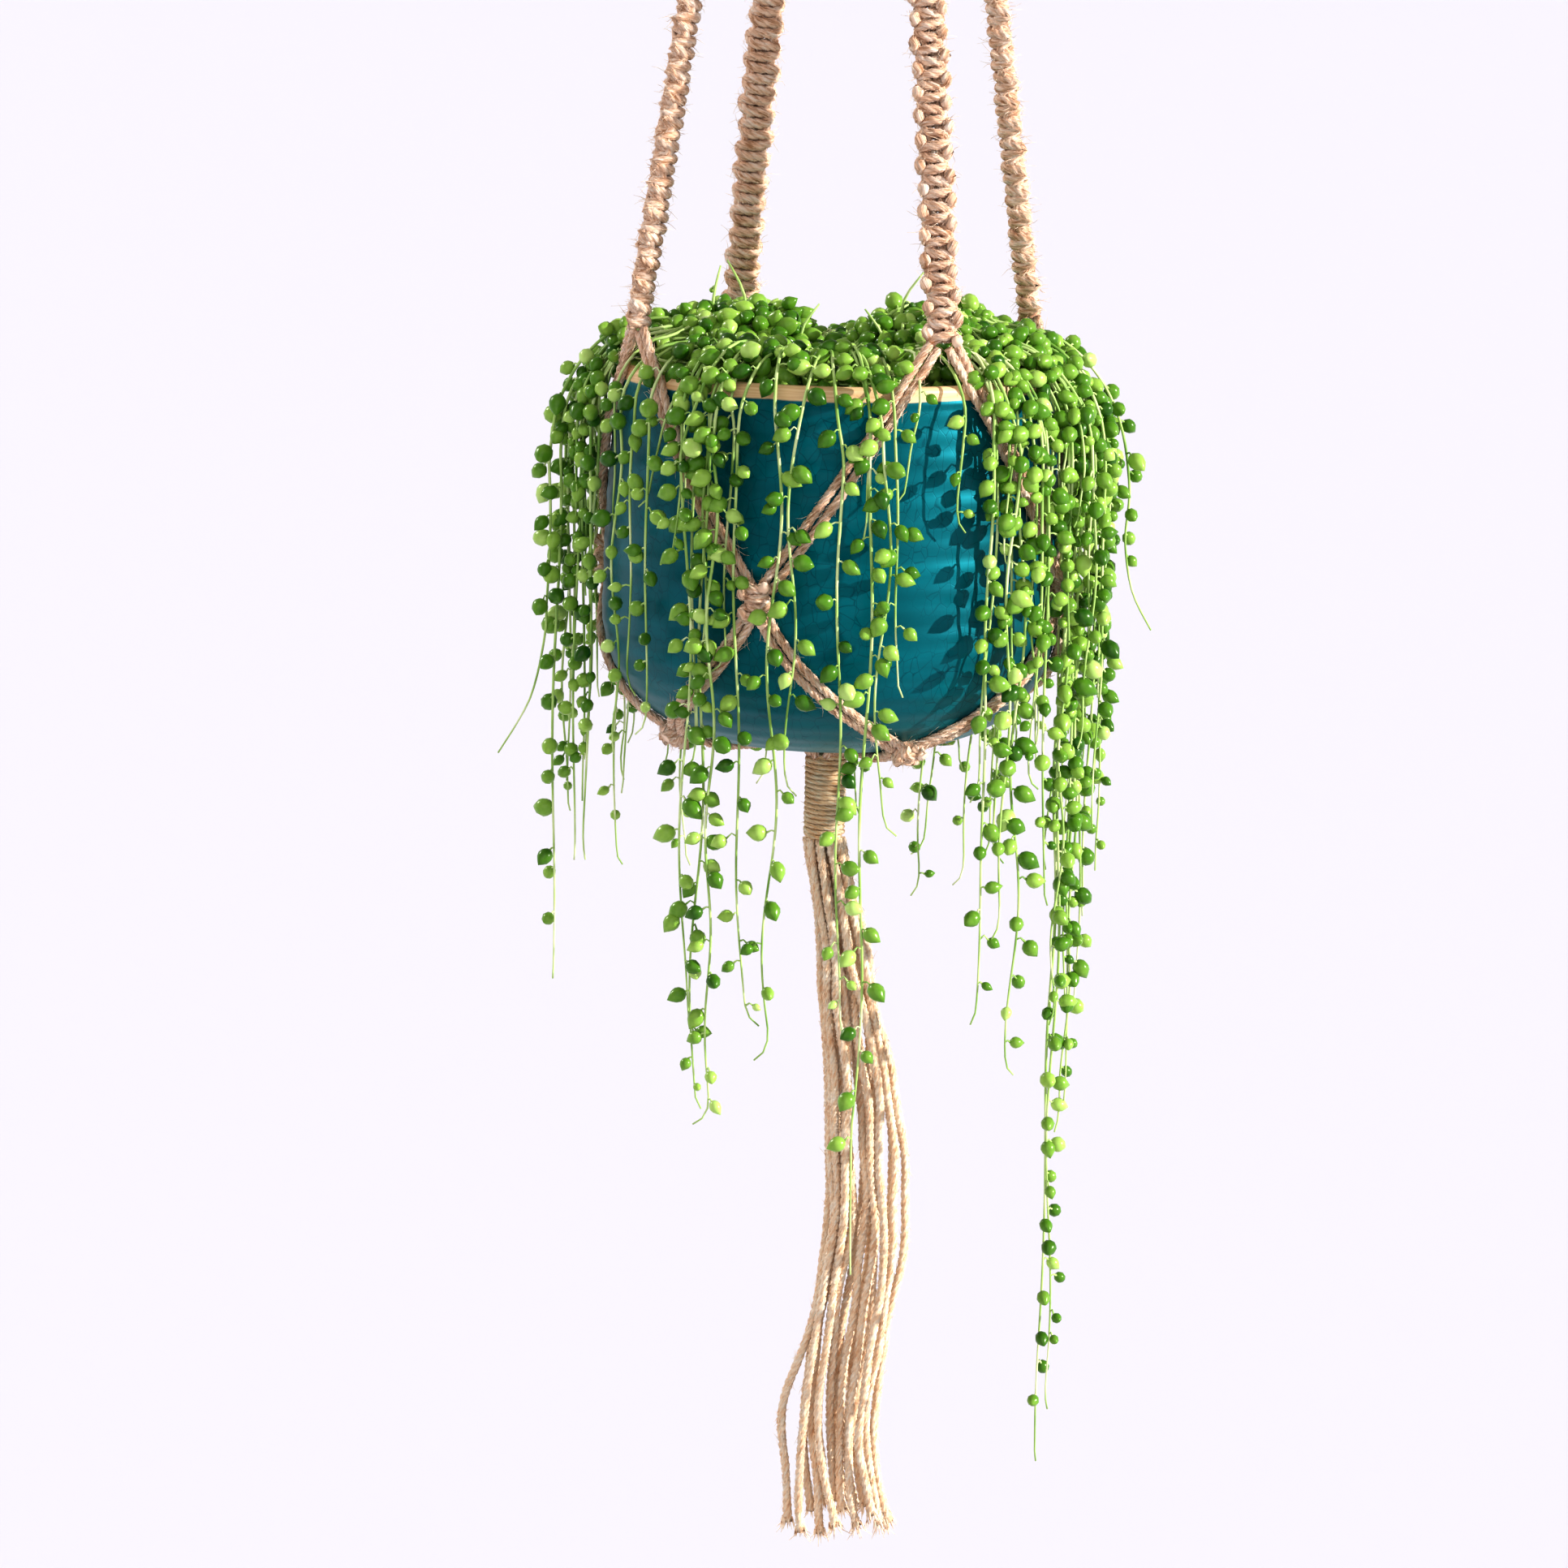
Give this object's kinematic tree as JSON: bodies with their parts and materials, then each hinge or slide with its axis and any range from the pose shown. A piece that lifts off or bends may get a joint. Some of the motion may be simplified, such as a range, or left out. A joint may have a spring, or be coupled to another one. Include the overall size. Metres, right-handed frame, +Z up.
{
  "type": "string of pearls plant in hanging pot",
  "caption": "Trailing succulent with bead-shaped leaves in a rounded glazed pot, carried by a knotted jute hanger with a wooden ring and a long cord tassel.",
  "frame": {"origin": "the point where a hook touches the inside top of the hanging ring", "axes": "+Z up along the hanging line, -Y towards the front of the plant, +X to the right seen from the front"},
  "size_m": [0.24, 0.22, 1.0962],
  "materials": {
    "ring_wood": "satin",
    "jute": "matte",
    "pot_glaze": "gloss",
    "soil": "matte",
    "plant": "satin"
  },
  "bodies": {
    "root": {"hanging_ring": "ring_wood", "ring_loops": "jute", "top_wrap": "jute", "strap_1": "jute", "strap_2": "jute", "strap_3": "jute", "strap_4": "jute", "upper_cords_1": "jute", "upper_cords_2": "jute", "upper_cords_3": "jute", "upper_cords_4": "jute", "side_knot_1": "jute", "side_knot_2": "jute", "side_knot_3": "jute", "side_knot_4": "jute", "lower_cords_1": "jute", "lower_cords_2": "jute", "lower_cords_3": "jute", "lower_cords_4": "jute", "edge_knot_1": "jute", "edge_knot_2": "jute", "edge_knot_3": "jute", "edge_knot_4": "jute", "base_cords": "jute", "tassel_wrap": "jute", "tassel_strand_01": "jute", "tassel_strand_02": "jute", "tassel_strand_03": "jute", "tassel_strand_04": "jute", "tassel_strand_05": "jute", "tassel_strand_06": "jute", "tassel_strand_07": "jute", "tassel_strand_08": "jute", "tassel_strand_09": "jute", "tassel_strand_10": "jute", "tassel_strand_11": "jute", "tassel_strand_12": "jute", "tassel_strand_13": "jute", "tassel_strand_14": "jute", "tassel_strand_15": "jute", "tassel_strand_16": "jute", "pot": "pot_glaze", "soil": "soil", "plant_crown": "plant", "trail_left": "plant", "trail_front_left": "plant", "trail_front": "plant", "trail_front_right": "plant", "trail_right": "plant", "trail_right_long": "plant", "trail_back_right": "plant", "trail_back": "plant", "trail_back_left": "plant"}
  },
  "joints": []
}
